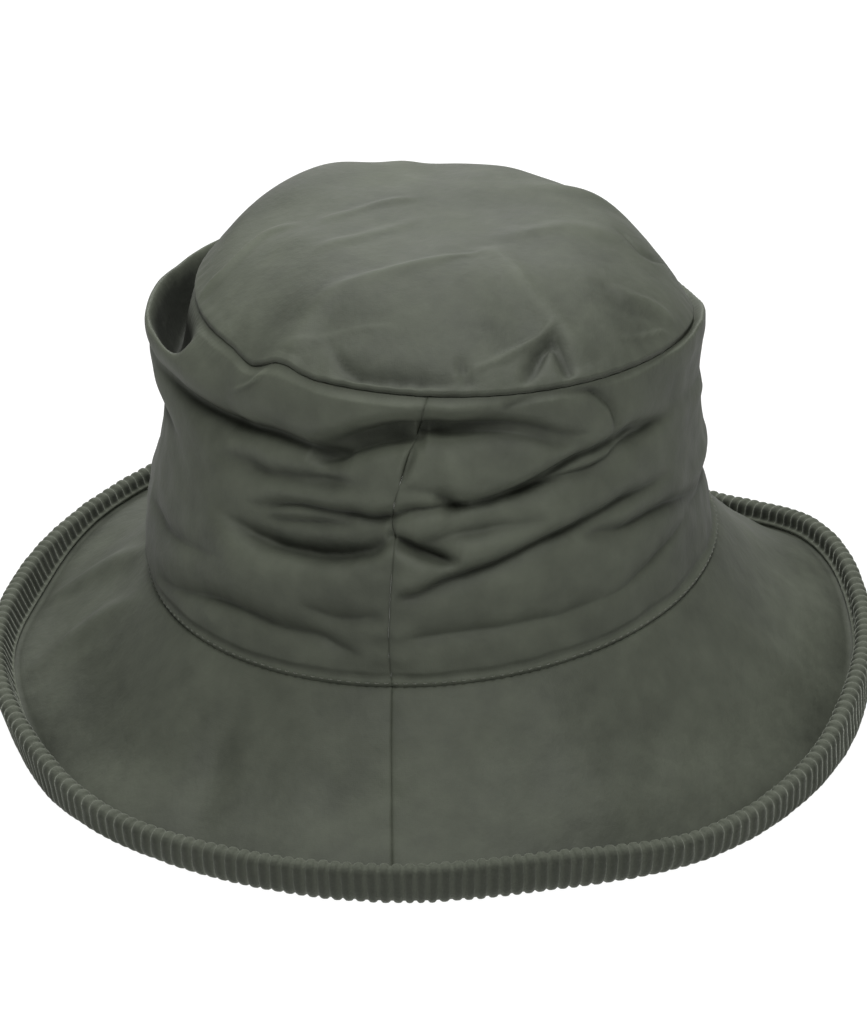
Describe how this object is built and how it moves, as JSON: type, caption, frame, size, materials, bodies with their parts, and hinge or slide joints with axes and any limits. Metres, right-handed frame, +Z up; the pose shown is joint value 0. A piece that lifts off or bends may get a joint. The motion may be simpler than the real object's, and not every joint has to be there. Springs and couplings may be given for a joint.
{
  "type": "country hat",
  "caption": "Soft waxed cotton country hat with an oval tip, a crown wall gathered into folds, and a sloping brim turned up inside a corduroy edge binding.",
  "frame": {"origin": "on the table under the middle of the hat's bounding box", "axes": "+Z up through the crown, -Y the front seam, +X to the right seen from the front"},
  "size_m": [0.2744, 0.3047, 0.1548],
  "materials": {
    "waxed_cotton": "olive-grey waxed cotton, smooth with a soft sheen and cloudy patches of wax",
    "corduroy": "dark olive-grey corduroy, matt ribs of pile across the edge"
  },
  "bodies": {
    "root": {"crown_tip": "waxed_cotton", "crown_side_left": "waxed_cotton", "crown_side_right": "waxed_cotton", "brim_left": "waxed_cotton", "brim_right": "waxed_cotton", "brim_binding": "corduroy"}
  },
  "joints": []
}
